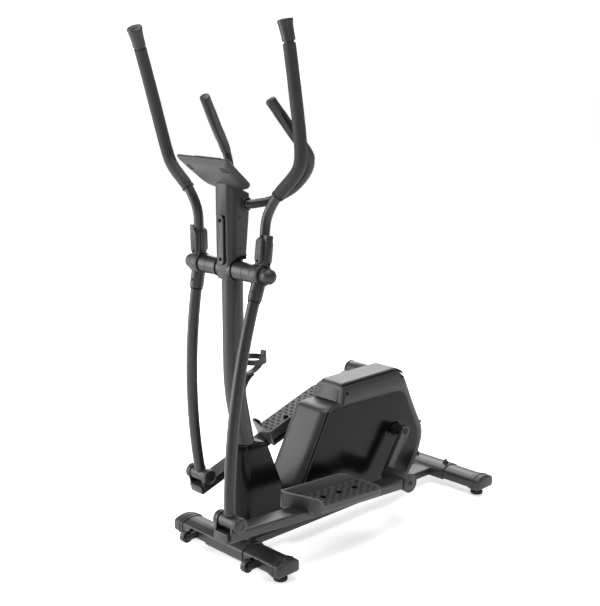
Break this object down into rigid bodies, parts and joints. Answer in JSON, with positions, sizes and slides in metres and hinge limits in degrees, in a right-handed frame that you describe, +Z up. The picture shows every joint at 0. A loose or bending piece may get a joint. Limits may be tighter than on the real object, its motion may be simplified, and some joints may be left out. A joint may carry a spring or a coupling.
{
  "type": "elliptical trainer",
  "caption": "Floor-standing elliptical trainer with swinging arms, pedal links, a cased drive with flywheel, a mast with console and fixed pulse bars.",
  "frame": {"origin": "on the floor under the middle of the machine's box at rest", "axes": "+X towards the mast and transport wheels, +Y to the user's left, +Z up"},
  "size_m": [1.1972, 0.5034, 1.6008],
  "materials": {
    "frame_paint": "satin powder coat",
    "shell_plastic": "fine moulded grain",
    "gloss_shell": "polished",
    "soft_foam": "closed-cell foam",
    "foot_rubber": "matt",
    "bright_steel": "machined",
    "dark_steel": "blackened",
    "cast_wheel": "turned",
    "bronze": "sintered",
    "pulley_plastic": "ribbed",
    "belt_rubber": "ribbed",
    "display_window": "clear-coated",
    "key_rubber": "soft touch"
  },
  "bodies": {
    "frame": {"main_rail": "frame_paint", "crank_post": "frame_paint", "flywheel_carrier": "frame_paint", "front_stabilizer": "frame_paint", "rear_stabilizer": "frame_paint", "stabilizer_end_caps": "shell_plastic", "frame_bolts": "dark_steel", "mast": "frame_paint", "base_cover_left": "gloss_shell", "base_cover_right": "gloss_shell", "cross_axle": "bright_steel", "axle_bushes": "bronze", "dome_caps": "gloss_shell", "upper_cover_left": "shell_plastic", "upper_cover_right": "shell_plastic", "cover_inlay": "shell_plastic", "bottle_holder": "shell_plastic", "console_housing": "shell_plastic", "console_display": "display_window", "pulse_bar": "frame_paint", "pulse_grips": "gloss_shell", "pulse_sensors": "bright_steel", "crank_bearings": "bright_steel", "drive_belt": "belt_rubber", "casing_left": "shell_plastic", "casing_right": "shell_plastic", "casing_top_trim": "shell_plastic", "side_panels": "gloss_shell"},
    "left_arm": {"left_arm": "frame_paint", "left_handlebar": "frame_paint", "left_grip": "soft_foam", "left_handle_cap": "shell_plastic", "left_hub_cover": "shell_plastic"},
    "left_pedal_link": {"left_link": "frame_paint", "left_pedal": "shell_plastic", "left_link_fasteners": "dark_steel"},
    "right_arm": {"right_arm": "frame_paint", "right_handlebar": "frame_paint", "right_grip": "soft_foam", "right_handle_cap": "shell_plastic", "right_hub_cover": "shell_plastic"},
    "right_pedal_link": {"right_link": "frame_paint", "right_pedal": "shell_plastic", "right_link_fasteners": "dark_steel"},
    "crank": {"drive_pulley": "pulley_plastic", "left_crank": "frame_paint", "right_crank": "frame_paint"},
    "flywheel": {"flywheel": "cast_wheel"},
    "idler_arm": {"idler_arm": "dark_steel"},
    "idler_roller": {"idler_roller": "pulley_plastic"},
    "magnet_bracket": {"magnet_bracket": "dark_steel"},
    "transport_wheel_left": {"transport_wheel_left": "shell_plastic"},
    "transport_wheel_right": {"transport_wheel_right": "shell_plastic"},
    "foot_front_left": {"foot_front_left": "foot_rubber"},
    "foot_front_right": {"foot_front_right": "foot_rubber"},
    "foot_rear_left": {"foot_rear_left": "foot_rubber"},
    "foot_rear_right": {"foot_rear_right": "foot_rubber"},
    "button_mode": {"button_mode": "key_rubber"},
    "button_up": {"button_up": "key_rubber"},
    "button_down": {"button_down": "key_rubber"}
  },
  "joints": [
    {"name": "left_arm_swing", "type": "hinge", "parent": "frame", "child": "left_arm", "pos_m": [0.3894, 0.115, 0.9018], "axis": [0, -1, 0], "range_deg": [-20.7, 3.6]},
    {"name": "right_arm_swing", "type": "hinge", "parent": "frame", "child": "right_arm", "pos_m": [0.3894, -0.115, 0.9018], "axis": [0, -1, 0], "range_deg": [-3.6, 20.7]},
    {"name": "left_link_pivot", "type": "hinge", "parent": "left_arm", "child": "left_pedal_link", "pos_m": [0.56234, 0.19, 0.23155], "axis": [0, -1, 0], "range_deg": [-3.6, 20.7]},
    {"name": "right_link_pivot", "type": "hinge", "parent": "right_arm", "child": "right_pedal_link", "pos_m": [0.35731, -0.19, 0.21034], "axis": [0, -1, 0], "range_deg": [-20.7, 3.6]},
    {"name": "crank_turn", "type": "hinge", "parent": "frame", "child": "crank", "pos_m": [-0.268, 0, 0.275], "axis": [0, -1, 0], "continuous": true},
    {"name": "flywheel_turn", "type": "hinge", "parent": "frame", "child": "flywheel", "pos_m": [-0.02, 0, 0.25], "axis": [0, -1, 0], "continuous": true},
    {"name": "idler_arm_swing", "type": "hinge", "parent": "frame", "child": "idler_arm", "pos_m": [-0.255, 0, 0.12], "axis": [0, -1, 0], "range_deg": [-4, 0], "stiffness_Nm_per_rad": 6, "springref_deg": 2.86},
    {"name": "idler_roller_turn", "type": "hinge", "parent": "idler_arm", "child": "idler_roller", "pos_m": [-0.11, 0.019, 0.18388], "axis": [0, -1, 0], "continuous": true},
    {"name": "magnet_bracket_swing", "type": "hinge", "parent": "frame", "child": "magnet_bracket", "pos_m": [-0.02415, -0.014, 0.36893], "axis": [0, -1, 0], "range_deg": [0, 3]},
    {"name": "transport_wheel_left_roll", "type": "hinge", "parent": "frame", "child": "transport_wheel_left", "pos_m": [0.459, 0.142, 0.046], "axis": [0, 1, 0], "continuous": true},
    {"name": "transport_wheel_right_roll", "type": "hinge", "parent": "frame", "child": "transport_wheel_right", "pos_m": [0.459, -0.142, 0.046], "axis": [0, 1, 0], "continuous": true},
    {"name": "foot_front_left_screw", "type": "hinge", "parent": "frame", "child": "foot_front_left", "pos_m": [0.386, 0.207, 0], "axis": [0, 0, 1], "continuous": true},
    {"name": "foot_front_right_screw", "type": "hinge", "parent": "frame", "child": "foot_front_right", "pos_m": [0.386, -0.207, 0], "axis": [0, 0, 1], "continuous": true},
    {"name": "foot_rear_left_screw", "type": "hinge", "parent": "frame", "child": "foot_rear_left", "pos_m": [-0.5556, 0.207, 0], "axis": [0, 0, 1], "continuous": true},
    {"name": "foot_rear_right_screw", "type": "hinge", "parent": "frame", "child": "foot_rear_right", "pos_m": [-0.5556, -0.207, 0], "axis": [0, 0, 1], "continuous": true},
    {"name": "button_mode_press", "type": "slide", "parent": "frame", "child": "button_mode", "axis": [0.6191, 0, -0.7853], "range_m": [0, 0.0012], "stiffness_N_per_m": 400, "springref_m": -0.0004},
    {"name": "button_up_press", "type": "slide", "parent": "frame", "child": "button_up", "axis": [0.6191, 0, -0.7853], "range_m": [0, 0.0012], "stiffness_N_per_m": 400, "springref_m": -0.0004},
    {"name": "button_down_press", "type": "slide", "parent": "frame", "child": "button_down", "axis": [0.6191, 0, -0.7853], "range_m": [0, 0.0012], "stiffness_N_per_m": 400, "springref_m": -0.0004}
  ],
  "couplings": [
    {"joint": "right_arm_swing", "follows": "left_arm_swing", "ratio": -1},
    {"joint": "left_link_pivot", "follows": "left_arm_swing", "ratio": -1},
    {"joint": "right_link_pivot", "follows": "left_arm_swing", "ratio": 1},
    {"joint": "flywheel_turn", "follows": "crank_turn", "ratio": 4.8182},
    {"joint": "idler_roller_turn", "follows": "crank_turn", "ratio": -6.625}
  ]
}
